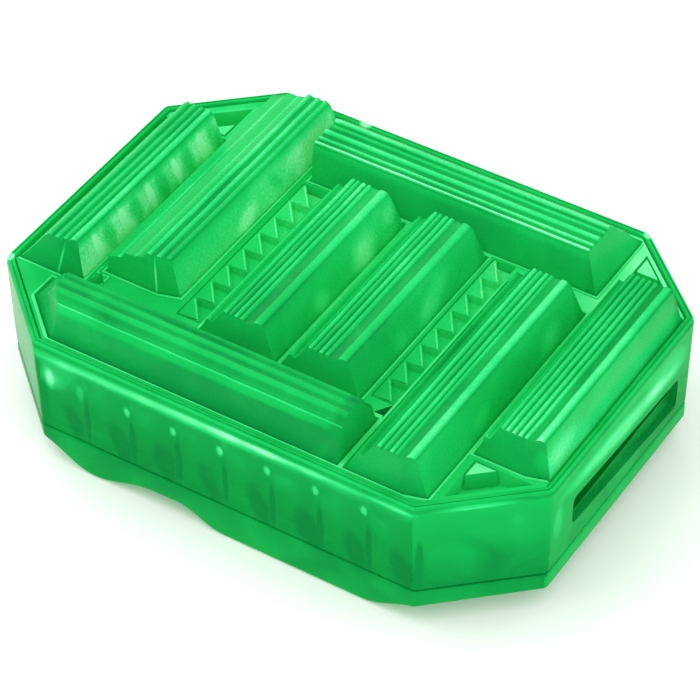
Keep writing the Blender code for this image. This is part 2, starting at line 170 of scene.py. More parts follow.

# Each bar's long axis, section, the painted light and shade in its steep side at the foot and near
# the top, how much lighter the painted light makes the bar along its length, and the painted shade in
# its near end.
BARS = {
    "bar_left_end": ("Y", "left_end", 0.92, 0.84, 0.0, 0.14),
    "bar_rear_left": ("Y", "rear_left", 0.76, 0.62, 0.2, 0.34),
    "bar_middle_left": ("Y", "middle", 0.52, 0.42, 0.3, 0.32),
    "bar_middle_right": ("Y", "middle", 0.36, 0.3, 0.2, 0.28),
    "bar_front_right": ("Y", "front_right", 0.3, 0.34, 0.1, 0.1),
    "bar_right_end": ("Y", "right_end", 0.62, 0.32, -0.3, 0.14),
    "bar_front": ("X", "front", 0.02, 0.0, 0.0, 0.14),
    "bar_rear": ("X", "rear", 0.32, 0.22, 0.05, 0.34),
}
STRIPS = ("toothed_strip_left", "toothed_strip_right")
STRIP_TEETH = 8
STRIP_FLOOR_DROP = 1.5 * MM
STRIP_SPINE = 0.4 * MM
# Raised line along the slanting side of each tooth.
RUNG_INSET = 0.45 * MM
RUNG_WIDTH = 0.3 * MM
RUNG_RISE = 0.18 * MM

# Corner blocks: the pocket's corner, the signs of X and Y that lead from it to the chamfer, and the
# length of the pocket's leg.
CORNER_BLOCKS = {
    "corner_block_front_right": (35.2, -21.3, 1, -1, 9.6),
    "corner_block_rear_right": (35.0, 21.3, 1, 1, 10.0),
    "corner_block_rear_left": (-35.6, 20.2, -1, 1, 9.2),
}
# Small open pocket beside the left end of the front bar.
SMALL_POCKET = ((-34.6, -19.9), (-31.6, -18.6), (-33.4, -16.6))

# Fine raised lines moulded on the deck, as runs of (X, Y) points.
DECK_LINES = (
    ((-34.0, -15.6), (-34.0, -17.0), (-31.9, -17.0), (-31.9, -18.8)),
    ((-20.0, -19.6), (-14.4, -19.6)),
    ((15.0, -19.6), (15.8, -20.6), (17.2, -20.9), (19.2, -20.9)),
    ((19.6, -21.6), (19.6, -31.6)),
)
LINE_WIDTH = 0.32 * MM
LINE_RISE = 0.22 * MM

RIB_STEP = 8.27
RIB_PITCH = RIB_STEP * MM
RIBS_EACH_SIDE = 3
RIB_WIDTH = 1.1 * MM
# Each rib widens into the rail by this much on each side, over this height.
RIB_FOOT_RUN = 0.4 * MM
RIB_FOOT_RISE = 0.5 * MM
RIB_TOP_STEPS = 6
COMB_RAIL = 1.6 * MM

# End slot, as (Y, height) corners on the +X wall.
SLOT_CORNERS = ((-14.6, 16.6), (17.6, 14.4), (17.6, 8.6), (-14.6, 11.2))
SLOT_ROUND = 1.0 * MM
SLOT_STEPS = 5
SLOT_REACH_IN = 5.0 * MM
SLOT_REACH_OUT = 2.0 * MM


# --- outlines -------------------------------------------------------------------------------


def rounded(corners, radius, steps):
    """A closed outline with an arc of the given radius at each corner."""
    outline = []
    count = len(corners)
    for i in range(count):
        corner = Vector(corners[i])
        before = (Vector(corners[i - 1]) - corner).normalized()
        after = (Vector(corners[(i + 1) % count]) - corner).normalized()
        half_angle = before.angle(after) / 2
        reach = radius / math.tan(half_angle)
        centre = corner + (before + after).normalized() * radius / math.sin(half_angle)
        start = corner + before * reach - centre
        turn = start.angle_signed(corner + after * reach - centre)
        for k in range(steps + 1):
            angle = -turn * k / steps
            spun = Matrix.Rotation(angle, 2) @ start
            outline.append(tuple(centre + spun))
    return outline


def octagon(inset):
    """The case's plan, moved inwards by the same distance on every side."""
    slant = math.hypot(CHAMFER_X, CHAMFER_Y)
    half_x = CASE_HIGH.x - inset
    half_y = CASE_HIGH.y - inset
    shortening = inset * (slant - CHAMFER_X - CHAMFER_Y)
    trim_x = CHAMFER_X + shortening / CHAMFER_Y
    trim_y = CHAMFER_Y + shortening / CHAMFER_X
    return [
        (-half_x, -half_y + trim_y),
        (-half_x + trim_x, -half_y),
        (half_x - trim_x, -half_y),
        (half_x, -half_y + trim_y),
        (half_x, half_y - trim_y),
        (half_x - trim_x, half_y),
        (-half_x + trim_x, half_y),
        (-half_x, half_y - trim_y),
    ]


def plan(inset):
    radius = max(CORNER_RADIUS - inset, 0.3 * MM)
    return rounded(octagon(inset), radius, CORNER_STEPS)


def rectangle(low_x, high_x, low_y, high_y):
    return [(low_x, low_y), (high_x, low_y), (high_x, high_y), (low_x, high_y)]


# --- mesh helpers ---------------------------------------------------------------------------


def ring_of(builder, outline, height):
    return [builder.verts.new((x, y, height)) for x, y in outline]


def wall_between(builder, low, high):
    count = len(low)
    for i in range(count):
        j = (i + 1) % count
        builder.faces.new((low[i], low[j], high[j], high[i]))


def prism(outline, low, high):
    builder = bmesh.new()
    bottom = ring_of(builder, outline, low)
    top = ring_of(builder, outline, high)
    wall_between(builder, bottom, top)
    builder.faces.new(list(reversed(bottom)))
    builder.faces.new(top)
    bmesh.ops.recalc_face_normals(builder, faces=builder.faces)
    return builder


def mesh_from(name, builder):
    bmesh.ops.recalc_face_normals(builder, faces=builder.faces)
    mesh = bpy.data.meshes.new(name)
    builder.to_mesh(mesh)
    builder.free()
    item = bpy.data.objects.new(name, mesh)
    bpy.context.scene.collection.objects.link(item)
    return item


def cut_away(builder, point, normal):
    """Removes what lies on the normal's side of a plane and closes the cut."""
    geometry = builder.verts[:] + builder.edges[:] + builder.faces[:]
    cut = bmesh.ops.bisect_plane(
        builder,
        geom=geometry,
        dist=1e-7,
        plane_co=point,
        plane_no=normal.normalized(),
        clear_outer=True,
    )
    edges = [item for item in cut["geom_cut"] if isinstance(item, bmesh.types.BMEdge)]
    bmesh.ops.edgeloop_fill(builder, edges=edges)


def combine(item, builders, operation):
    """Adds closed shapes to an object, or takes them away, and keeps the result as its mesh."""
    for index, builder in enumerate(builders):
        cutter = mesh_from(f"shape_{index}", builder)
        modifier = item.modifiers.new("combine", "BOOLEAN")
        modifier.operation = operation
        modifier.solver = "EXACT"
        modifier.object = cutter
        graph = bpy.context.evaluated_depsgraph_get()
        result = bpy.data.meshes.new_from_object(item.evaluated_get(graph), depsgraph=graph)
        item.modifiers.clear()
        old = item.data
        item.data = result
        bpy.data.meshes.remove(old)
        spare = cutter.data
        bpy.data.objects.remove(cutter)
        bpy.data.meshes.remove(spare)


def soften(item, width, segments, angle=35):
    modifier = item.modifiers.new("soft_edges", "BEVEL")
    modifier.width = width
    modifier.segments = segments
    modifier.limit_method = "ANGLE"
    modifier.angle_limit = math.radians(angle)


def wobble(mesh, size, scale, seed):
    """Moves each point a little along a smooth noise field, as moulded plastic never lies true."""
    noise.seed_set(NOISE_SEED)
    for vertex in mesh.vertices:
        sample = vertex.co * scale + Vector((seed, seed, seed))
        vertex.co += noise.noise_vector(sample) * size


def paint(item, rule, name="glow"):
    """Stores a value, by default how brightly the plastic glows, at each corner of each face."""
    mesh = item.data
    layer = mesh.attributes.new(name, "FLOAT", "CORNER")
    for face in mesh.polygons:
        for loop in face.loop_indices:
            point = mesh.vertices[mesh.loops[loop].vertex_index].co
            layer.data[loop].value = rule(point, face.normal)


def fit_in(item, node, material, angle=40):
    """Makes the piece stand for its CAD node and ride with the block."""
    item.data.materials.clear()
    item.data.materials.append(material)
    item.data.shade_smooth()
    item.data.set_sharp_from_angle(angle=math.radians(angle))
    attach(item, "root")
    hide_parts(node)
    return item


def clamp(value, low=0.0, high=1.0):
    return max(low, min(high, value))


# --- material -------------------------------------------------------------------------------


# The plastic's colour ramp, from painted shade where the painted glow is lowest to painted light where
# it is highest.
TONES = (
    (0.00, (0.003, 0.230, 0.042)),
    (0.14, (0.005, 0.345, 0.060)),
    (0.30, (0.007, 0.425, 0.080)),
    (0.46, (0.011, 0.500, 0.108)),
    (0.62, (0.024, 0.600, 0.158)),
    (0.80, (0.085, 0.720, 0.255)),
    (1.00, (0.330, 0.900, 0.500)),
)
SHADOW_TINT = (0.25, 0.95, 0.45, 1.0)
# Painted glow: an even emission that stands in for light reaching every part of the plastic through
# the rest of it.
INNER_LIGHT = (0.01, 0.45, 0.11, 1.0)


def math_node(nodes, links, operation, first, second, clamped=False):
    """A math node whose inputs are sockets or plain numbers."""
    node = nodes.new("ShaderNodeMath")
    node.operation = operation
    node.use_clamp = clamped
    for socket, value in zip(node.inputs, (first, second)):
        if isinstance(value, float):
            socket.default_value = value
        else:
            links.new(value, socket)
    return node.outputs["Value"]


def noise_node(nodes, links, vector, scale, detail, distortion=0.0):
    node = nodes.new("ShaderNodeTexNoise")
    node.inputs["Scale"].default_value = scale
    node.inputs["Detail"].default_value = detail
    node.inputs["Distortion"].default_value = distortion
    links.new(vector, node.inputs["Vector"])
    return node.outputs["Fac"]


def patch_node(nodes, links, vector, centre, size, tilt, strength):
    """A soft-edged blob of painted light in the plastic, strongest at its centre; a negative strength
    paints shade.
    """
    place = nodes.new("ShaderNodeMapping")
    place.vector_type = "TEXTURE"
    place.inputs["Location"].default_value = [value * MM for value in centre]
    place.inputs["Rotation"].default_value = [math.radians(angle) for angle in tilt]
    place.inputs["Scale"].default_value = [value * MM for value in size]
    links.new(vector, place.inputs["Vector"])
    distance = nodes.new("ShaderNodeVectorMath")
    distance.operation = "LENGTH"
    links.new(place.outputs["Vector"], distance.inputs[0])
    fade = nodes.new("ShaderNodeMapRange")
    fade.interpolation_type = "SMOOTHSTEP"
    fade.inputs["From Min"].default_value = 0.25
    fade.inputs["From Max"].default_value = 1.0
    fade.inputs["To Min"].default_value = strength
    fade.inputs["To Max"].default_value = 0.0
    links.new(distance.outputs["Value"], fade.inputs["Value"])
    return fade.outputs["Result"]


def clear_green(name, solid, gloss, roughness, grain, inner, sparkle=0.0, patches=()):
    """Glossy clear green plastic with painted light and shade: deep green where the painted glow is
    low, pale where it is high.

    solid is how opaque it is, or None where the piece's own "cover" says; inner is the strength of
    its painted glow, an even emission.
    """
    material = bpy.data.materials.new(name)
    material.use_nodes = True
    nodes = material.node_tree.nodes
    links = material.node_tree.links
    shader = nodes["Principled BSDF"]
    place = nodes.new("ShaderNodeTexCoord").outputs["Object"]

    glow = nodes.new("ShaderNodeAttribute")
    glow.attribute_name = "glow"
    total = glow.outputs["Fac"]
    clouds = noise_node(nodes, links, place, 95.0, 3.0, 0.9)
    cloud_share = math_node(nodes, links, "MULTIPLY", clouds, 0.36)
    total = math_node(nodes, links, "ADD", total, cloud_share)
    total = math_node(nodes, links, "ADD", total, -0.18)
    for patch in patches:
        total = math_node(nodes, links, "ADD", total, patch_node(nodes, links, place, *patch))
    speck = noise_node(nodes, links, place, 2300.0, 2.0)
    glint = math_node(nodes, links, "SUBTRACT", speck, 0.5)
    glint = math_node(nodes, links, "MULTIPLY", glint, glow.outputs["Fac"])
    glint = math_node(nodes, links, "MULTIPLY", glint, sparkle)
    total = math_node(nodes, links, "ADD", total, glint, clamped=True)

    ramp = nodes.new("ShaderNodeValToRGB")
    stops = ramp.color_ramp.elements
    stops[0].color = (*TONES[0][1], 1.0)
    stops[1].color = (*TONES[-1][1], 1.0)
    for position, tone in TONES[1:-1]:
        stops.new(position).color = (*tone, 1.0)
    links.new(total, ramp.inputs["Fac"])
    links.new(ramp.outputs["Color"], shader.inputs["Base Color"])

    rough = nodes.new("ShaderNodeMapRange")
    rough.inputs["To Min"].default_value = roughness * 0.75
    rough.inputs["To Max"].default_value = roughness * 1.3
    links.new(speck, rough.inputs["Value"])
    links.new(rough.outputs["Result"], shader.inputs["Roughness"])
    bump = nodes.new("ShaderNodeBump")
    bump.inputs["Strength"].default_value = grain
    bump.inputs["Distance"].default_value = 0.1 * MM
    links.new(speck, bump.inputs["Height"])
    links.new(bump.outputs["Normal"], shader.inputs["Normal"])

    shader.inputs["Emission Color"].default_value = INNER_LIGHT
    shader.inputs["Emission Strength"].default_value = inner
    shader.inputs["IOR"].default_value = 1.45
    shader.inputs["Specular IOR Level"].default_value = gloss
    shader.inputs["Specular Tint"].default_value = (0.2, 1.0, 0.5, 1.0)
    if solid is None:
        # The wall is least clear where its painted light or painted shade is strongest.
        cover = nodes.new("ShaderNodeAttribute")
        cover.attribute_name = "cover"
        change = math_node(nodes, links, "SUBTRACT", total, 0.32)
        change = math_node(nodes, links, "ABSOLUTE", change, 0.0)
        dense = math_node(nodes, links, "ADD", cover.outputs["Fac"], change, clamped=True)
        links.new(dense, shader.inputs["Alpha"])
    else:
        shader.inputs["Alpha"].default_value = solid

    # Light passes on through the plastic, tinted green, so shadows are soft and coloured.
    ray = nodes.new("ShaderNodeLightPath")
    clear = nodes.new("ShaderNodeBsdfTransparent")
    clear.inputs["Color"].default_value = SHADOW_TINT
    passing = math_node(nodes, links, "MULTIPLY", ray.outputs["Is Shadow Ray"], 0.8)
    mix = nodes.new("ShaderNodeMixShader")
    links.new(passing, mix.inputs["Fac"])
    links.new(shader.outputs["BSDF"], mix.inputs[1])
    links.new(clear.outputs["BSDF"], mix.inputs[2])
    links.new(mix.outputs["Shader"], nodes["Material Output"].inputs["Surface"])
    return material


# Painted light, painted highlights and painted shade in the wall, with painted highlights along the lip
# and at three rim corners: centre, half-size, tilt in degrees, strength.
# Strengths of the painted highlight along the lip, one per length.
LIP_LIGHT = (0.1, 0.2, 0.12, 0.16, 0.18, 0.28, 0.38, 0.3, 0.2, 0.4)
WALL_PATCHES = (
    *(((-33.5 + 7.0 * k, -34.7, 21.6 + 0.12 * k), (5.4, 1.6, 1.05), (0, 0, 0), light)
      for k, light in enumerate(LIP_LIGHT)),
    ((-4.0, -34.7, 21.9), (34.0, 2.0, 1.8), (0, 0, 0), 0.3),
    ((-29.0, -34.7, 19.0), (5.5, 3.0, 4.5), (0, 0, 0), 0.22),
    ((-30.6, -34.7, 17.4), (1.2, 3.0, 3.2), (0, 0, 0), 0.26),
    ((-25.0, -34.7, 17.0), (1.2, 3.0, 2.9), (0, 0, 0), 0.28),
    ((-33.0, -34.7, 18.0), (0.8, 3.0, 4.5), (0, 0, 0), -0.25),
    ((40.0, -28.5, 23.0), (9.0, 9.0, 0.7), (0, 0, 0), 0.45),
    ((44.5, -24.5, 18.5), (2.6, 2.6, 4.0), (0, 0, 0), 0.14),
    ((48.0, 0.0, 18.6), (2.0, 23.0, 2.8), (-4, 0, 0), 0.5),
    ((48.0, 14.0, 19.0), (2.0, 9.0, 4.2), (-4, 0, 0), 0.34),
    ((48.0, -19.0, 15.0), (2.0, 2.4, 6.0), (0, 0, 0), 0.3),
    ((-49.0, -20.5, 15.0), (2.2, 2.2, 14.0), (0, 0, 0), 0.1),
    ((-47.5, -21.2, 24.0), (1.2, 1.2, 1.2), (0, 0, 0), 1.0),
    ((-18.0, 34.3, 24.0), (1.5, 1.2, 1.2), (0, 0, 0), 1.0),
    ((33.2, 34.3, 24.0), (1.2, 1.2, 1.2), (0, 0, 0), 1.0),
)
# Painted light and shade on the front wall: a painted highlight where each rib's top shows, a painted
# shade line under it, and the panel to its right painted light at the top and shaded lower down.
PANEL_PATCHES = (
    *(((RIB_STEP * k, -34.7, 18.3 + 0.04 * RIB_STEP * k), (0.95, 2.0, 1.6), (0, 0, 0), 0.45)
      for k in range(-2, 4)),
    *(((RIB_STEP * k + 0.7, -34.7, 12.5), (0.7, 2.0, 6.4), (0, 0, 0), -0.3) for k in range(-3, 5)),
    *(((RIB_STEP * k + 2.8, -34.7, 17.0), (3.6, 2.0, 4.2), (0, -20, 0), 0.16) for k in range(-4, 4)),
    *(((RIB_STEP * k + 6.4, -34.7, 10.5), (2.6, 2.0, 5.5), (0, -15, 0), -0.16) for k in range(-4, 4)),
)
# Painted highlight on the rounded top of each rib, which shines through the wall.
RIB_PATCHES = tuple(
    ((RIB_STEP * k, side * 32.0, 18.4), (1.0, 2.5, 1.3), (0, 0, 0), 0.95)
    for k in range(-RIBS_EACH_SIDE, RIBS_EACH_SIDE + 1)
    for side in (-1, 1)
)
# Painted light and shade in the bars: slanting painted stripes of light and shade in the left bar,
# painted light zones low in the steep sides and some painted shade, and painted highlight lines on facet
# edges.
BAR_PATCHES = (
    *(((-35.3, -14.5 + 7.0 * k, 26.5), (1.5, 1.0, 5.0), (18, 0, 0), 0.3) for k in range(5)),
    *(((-35.3, -11.4 + 7.0 * k, 26.5), (1.5, 1.9, 5.0), (18, 0, 0), -0.3) for k in range(5)),
    ((-20.5, 22.0, 27.0), (2.0, 9.0, 5.0), (0, 0, 0), 0.15),
    ((-20.5, 4.0, 25.5), (2.0, 4.0, 3.0), (25, 0, 0), 0.25),
    ((-20.5, 12.0, 27.0), (2.0, 1.5, 4.0), (35, 0, 0), -0.15),
    ((-1.0, 6.0, 25.5), (2.5, 5.0, 4.5), (30, 0, 0), 0.35),
    ((-0.8, -6.0, 25.0), (1.6, 3.0, 3.0), (35, 0, 0), 0.25),
    ((-1.5, 14.0, 27.5), (2.5, 3.0, 2.5), (0, 0, 0), 0.15),
    ((13.5, 2.0, 26.0), (2.5, 7.0, 3.5), (30, 0, 0), 0.3),
    ((13.7, -7.0, 25.0), (1.6, 2.6, 3.0), (35, 0, 0), 0.16),
    ((32.0, 4.0, 25.5), (2.5, 5.0, 3.5), (25, 0, 0), 0.3),
    ((32.6, -16.0, 25.5), (1.5, 4.0, 2.5), (25, 0, 0), 0.2),
    ((45.3, -16.0, 27.0), (2.5, 7.0, 3.5), (0, 0, 0), 0.3),
    ((-23.8, -15.9, 26.5), (0.3, 0.8, 6.0), (0, 0, 0), 0.6),
    ((-38.4, -20.0, 26.5), (0.3, 0.8, 6.0), (0, 14, 0), 0.6),
    ((-30.5, -30.5, 29.5), (8.0, 3.0, 2.0), (0, 0, 0), 0.15),
)


# --- case and base --------------------------------------------------------------------------


def slot_outline():
    corners = [(y * MM, z * MM) for y, z in SLOT_CORNERS]
    return rounded(corners, SLOT_ROUND, SLOT_STEPS)


def slot_shape():
    builder = bmesh.new()
    near = CASE_HIGH.x - SLOT_REACH_IN
    far = CASE_HIGH.x + SLOT_REACH_OUT
    low = [builder.verts.new((near, y, z)) for y, z in slot_outline()]
    high = [builder.verts.new((far, y, z)) for y, z in slot_outline()]
    wall_between(builder, low, high)
    builder.faces.new(list(reversed(low)))
    builder.faces.new(high)
    return builder


def case_glow(point, normal):
    """Painted light and shade in the wall: lighter upwards, with a painted dark line at the lip, and the
    front chamfers painted deeper.
    """
    height = clamp((point.z - CASE_LOW.z) / (CASE_HIGH.z - CASE_LOW.z))
    if normal.z > 0.8:
        return 0.36
    if CASE_HIGH.z - LIP_DROP * 0.9 < point.z < CASE_HIGH.z - LIP_DROP * 0.3:
        return 0.12
    if abs(normal.x) > 0.3 and normal.y < -0.3:
        return 0.34 * height - 0.03
    return 0.1 + 0.32 * height ** 2


def case_cover(point, normal):
    """How opaque the wall is: clearest in the long walls, dense at the lip and round the ends."""
    if point.z > CASE_HIGH.z - LIP_DROP - 0.1 * MM:
        return 0.95
    if abs(normal.x) > 0.3:
        return 0.86
    return 0.46


def build_case(material):
    """The eight-sided wall, with a rounded lip, a fine groove in the rim, and the end slot."""
    levels = [(DRAFT + SEAM_INSET, CASE_LOW.z), (DRAFT, CASE_LOW.z + SEAM_HEIGHT)]
    lip_start = CASE_HIGH.z - LIP_DROP
    for k in range(1, WALL_LEVELS):
        share = k / WALL_LEVELS
        levels.append((DRAFT * (1 - share), CASE_LOW.z + (lip_start - CASE_LOW.z) * share))
    for k in range(LIP_STEPS + 1):
        angle = math.pi / 2 * k / LIP_STEPS
        inset = LIP_RUN * (1 - math.cos(angle))
        levels.append((inset, CASE_HIGH.z - LIP_DROP * (1 - math.sin(angle))))
    top = CASE_HIGH.z
    levels.append((LIP_RUN + 0.12 * MM, top))
    levels.append((LIP_RUN + 0.18 * MM, top - RIM_GROOVE))
    levels.append((LIP_RUN + 0.30 * MM, top - RIM_GROOVE))
    levels.append((LIP_RUN + 0.36 * MM, top - 0.02 * MM))
    levels.append((WALL - 0.08 * MM, top - 0.04 * MM))
    levels.append((WALL, top - 0.18 * MM))
    levels.append((WALL + DRAFT, CASE_LOW.z))
    builder = bmesh.new()
    rings = [ring_of(builder, plan(inset), height) for inset, height in levels]
    for low, high in zip(rings, rings[1:] + rings[:1]):
        wall_between(builder, low, high)
    case = mesh_from("case_wall", builder)
    combine(case, [slot_shape()], "DIFFERENCE")
    paint(case, case_glow)
    paint(case, case_cover, "cover")
    return fit_in(case, "outer_case", material, angle=30)


def base_rise(x):
    """Height of the underside at x, eased smoothly from each given point to the next."""
    for (low_x, low_z), (high_x, high_z) in zip(UNDERSIDE, UNDERSIDE[1:]):
        if x <= high_x * MM:
            share = (x / MM - low_x) / (high_x - low_x)
            ease = (1.0 - math.cos(math.pi * share)) / 2
            return (low_z + (high_z - low_z) * ease) * MM
    return UNDERSIDE[-1][1] * MM


def base_glow(point, normal):
    """Painted light: lighter low down, at its end and inside, standing in for light that crosses the
    base and comes out there.
    """
    if point.z > CASE_LOW.z:
        return 0.75
    depth = clamp((CASE_LOW.z - point.z) / CASE_LOW.z)
    return 0.24 if normal.x > 0.8 else 0.03 + 0.1 * depth


def base_plan(inset, stations):
    """The plan with its long sides cut into short lengths, so that the underside can sweep."""
    outline = plan(inset)
    fine = []
    count = len(outline)
    for i, (x, y) in enumerate(outline):
        next_x, next_y = outline[(i + 1) % count]
        fine.append((x, y))
        if abs(next_x - x) > 20.0 * MM:
            for k in range(1, stations):
                share = k / stations
                fine.append((x + (next_x - x) * share, y + (next_y - y) * share))
    return fine


def build_base(material):
    builder = bmesh.new()
    seam = CASE_LOW.z - GAP
    rings = []
    for k in range(BASE_EDGE_STEPS + 1):
        angle = math.pi / 2 * k / BASE_EDGE_STEPS
        inset = DRAFT + BASE_EDGE_RADIUS * (1 - math.sin(angle))
        lift = BASE_EDGE_RADIUS * (1 - math.cos(angle)) * 0.8
        outline = base_plan(inset, BASE_STATIONS)
        rings.append([builder.verts.new((x, y, base_rise(x) + lift)) for x, y in outline])
    for inset, drop in ((DRAFT, 0.3 * MM), (DRAFT + 0.2 * MM, 0.0), (WALL + DRAFT + GAP, 0.0)):
        rings.append(ring_of(builder, base_plan(inset, BASE_STATIONS), seam - drop))
    spigot_out = WALL + DRAFT + GAP
    spigot_in = spigot_out + WALL
    for inset, height in ((spigot_out, BASE_HIGH.z), (spigot_in, BASE_HIGH.z), (spigot_in, seam)):
        rings.append(ring_of(builder, base_plan(inset, BASE_STATIONS), height))
    for low, high in zip(rings, rings[1:]):
        wall_between(builder, low, high)
    for ring in (rings[0], rings[-1]):
        close_ring(builder, ring)
    base = mesh_from("base_shell", builder)
    paint(base, base_glow)
    return fit_in(base, "base", material, angle=30)


def close_ring(builder, ring):
    """Spans a ring, whose points mirror about Y, with strips that run across it."""
    front = sorted((v for v in ring if v.co.y < 0.0), key=lambda v: v.co.x)
    rear = sorted((v for v in ring if v.co.y > 0.0), key=lambda v: v.co.x)
    for i in range(len(front) - 1):
        builder.faces.new((front[i], front[i + 1], rear[i + 1], rear[i]))


# --- deck -----------------------------------------------------------------------------------


def bar_box(node, margin):
    low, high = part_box(node)
    return low.x - margin, high.x + margin, low.y - margin, high.y + margin


def footprint(node, margin):
    """Plan of a bar's foot, grown by a margin, with its blunted corner."""
    left, right, near, far = bar_box(node, margin)
    if BARS[node][0] == "Y":
        facet_x = right - FACET_WIDTH
        facet_y = near + FACET_WIDTH * FACET_SLOPE
        return [(left, near), (facet_x, near), (right, facet_y), (right, far), (left, far)]
    if node == "bar_front":
        cut_x = left + FRONT_BAR_CUT
        cut_y = near + FRONT_BAR_CUT * CHAMFER_Y / CHAMFER_X
        return [(left, cut_y), (cut_x, near), (right, near), (right, far), (left, far)]
    return rectangle(left, right, near, far)


def clip(outline, limit):
    """The part of an outline that lies inside a convex one."""
    kept = [Vector(point) for point in outline]
    count = len(limit)
    for i in range(count):
        start = Vector(limit[i])
        along = Vector(limit[(i + 1) % count]) - start
        inward = Vector((-along.y, along.x)).normalized()
        result = []
        for j, point in enumerate(kept):
            before = kept[j - 1]
            depth = (point - start).dot(inward)
            depth_before = (before - start).dot(inward)
            if depth * depth_before < 0:
                result.append(before.lerp(point, depth_before / (depth_before - depth)))
            if depth >= 0:
                result.append(point)
        kept = result
    return [tuple(point) for point in kept]


def corner_triangle(x, y, sign_x, sign_y, leg):
    points = [(x, y), (x + sign_x * leg, y), (x, y + sign_y * leg * CHAMFER_Y / CHAMFER_X)]
    if sign_x * sign_y < 0:
        points.reverse()
    return points


def deck_glow(point, normal):
    """Painted light: raised lines and pocket floors are painted light, and the plate gets lighter to the
    far right.
    """
    # Painted light in the rear-left corner.
    in_rear_left_corner = point.x < -34.0 * MM and point.y > 18.0 * MM
    if in_rear_left_corner:
        return 0.6
    if normal.z < -0.5:
        return 0.7
    if point.z < DECK_TOP - 2.0 * MM:
        return 0.6
    if normal.z < 0.5:
        return 0.5
    if point.z > DECK_TOP + 0.1 * MM:
        return 0.7
    return 0.34 + 0.5 * clamp((point.x + point.y - 10.0 * MM) / (45.0 * MM))


def line_shape(start, end):
    """A fine raised line between two points on the deck."""
    start = Vector(start) * MM
    end = Vector(end) * MM
    along = (end - start).normalized() * LINE_WIDTH / 2
    side = Vector((-along.y, along.x))
    outline = [start - along - side, end + along - side, end + along + side, start - along + side]
    corners = [tuple(point) for point in outline]
    return prism(corners, DECK_TOP - SINK, DECK_TOP + LINE_RISE)


def build_deck(material):
    inset = WALL + GAP
    edge = octagon(inset)
    inside = octagon(inset + 0.25 * MM)
    deck = mesh_from("deck_plate", prism(edge, DECK_LOW.z, DECK_TOP))
    beads = []
    seats = []
    above = DECK_TOP + CUTTER_RISE
    for node in BARS:
        wide = clip(footprint(node, FOOT_GAP + BEAD_WIDTH), inside)
        beads.append(prism(wide, DECK_TOP - SINK, DECK_TOP + BEAD_RISE))
        seats.append(prism(footprint(node, FOOT_GAP), DECK_TOP - SEAT_DEPTH, above))
    for node in STRIPS:
        outline = rectangle(*bar_box(node, GAP))
        seats.append(prism(outline, DECK_TOP - POCKET_DEPTH, above))
    for x, y, sign_x, sign_y, leg in CORNER_BLOCKS.values():
        outline = corner_triangle(x * MM, y * MM, sign_x, sign_y, leg * MM)
        seats.append(prism(outline, DECK_TOP - POCKET_DEPTH, above))
    small = [(x * MM, y * MM) for x, y in SMALL_POCKET]
    seats.append(prism(small, DECK_TOP - POCKET_DEPTH, above))
    for run in DECK_LINES:
        beads += [line_shape(start, end) for start, end in zip(run, run[1:])]
    combine(deck, beads, "UNION")
    combine(deck, seats, "DIFFERENCE")
    paint(deck, deck_glow)
    soften(deck, 0.09 * MM, 2)
    return fit_in(deck, "deck", material)


# --- bars -----------------------------------------------------------------------------------


def bar_section(node, width, height):
    """Outline of a bar's cross-section as (distance from the steep side, height, glow) points."""
    section, foot_glow, top_glow = BARS[node][1:4]
    steep, ridges, slope = SECTIONS[section]
    points = [(0.0, 0.0, 0.2), (0.0, FOOT_HEIGHT, foot_glow)]
    first, drop = steep[0][0] * MM, steep[0][1] * MM
    for k in range(1, STEEP_STEPS):
        share = k / STEEP_STEPS
        rise = FOOT_HEIGHT + (height - drop - FOOT_HEIGHT) * share
        points.append((first * share, rise, foot_glow + (top_glow - foot_glow) * share))
    for distance, drop, glow in steep:
        points.append((distance * MM, height - drop * MM, glow))
    for middle, half, glow in ridges:
        for share in RIDGE_SHARES:
            rise = 1.0 - abs(share) ** 2.5
            light = VALLEY_GLOW + (glow - VALLEY_GLOW) * min(1.0, rise * 1.6)
            place = (middle + half * share) * MM
            points.append((place, height - RIDGE_DEPTH * (1.0 - rise), light))
    start = points[-1][0]
    for share, drop, glow in slope:
        points.append((start + (width - start) * share, height - drop * MM, glow))
    points.append((width - 0.06 * MM, FOOT_HEIGHT + 0.1 * MM, 0.5))
    points.append((width, FOOT_HEIGHT, 0.55))
    points.append((width, 0.0, 0.3))
    return points


def light_along(distance, length, across, glow, gain, seed):
    """Varies the painted glow down a bar: painted streaks of light, a painted highlight on the ridges at
    the near tip, and painted shade at the far end.
    """
    place = (distance * STREAK_ALONG, across * STREAK_ACROSS, seed * 7.0)
    value = glow + STREAK * noise.noise(Vector(place)) + gain * (distance / length - 0.35)
    if glow > 0.45 and distance < 1.0 * MM:
        value += 0.2
    if length - distance < 2.0 * MM:
        value -= 0.2
    return clamp(value)


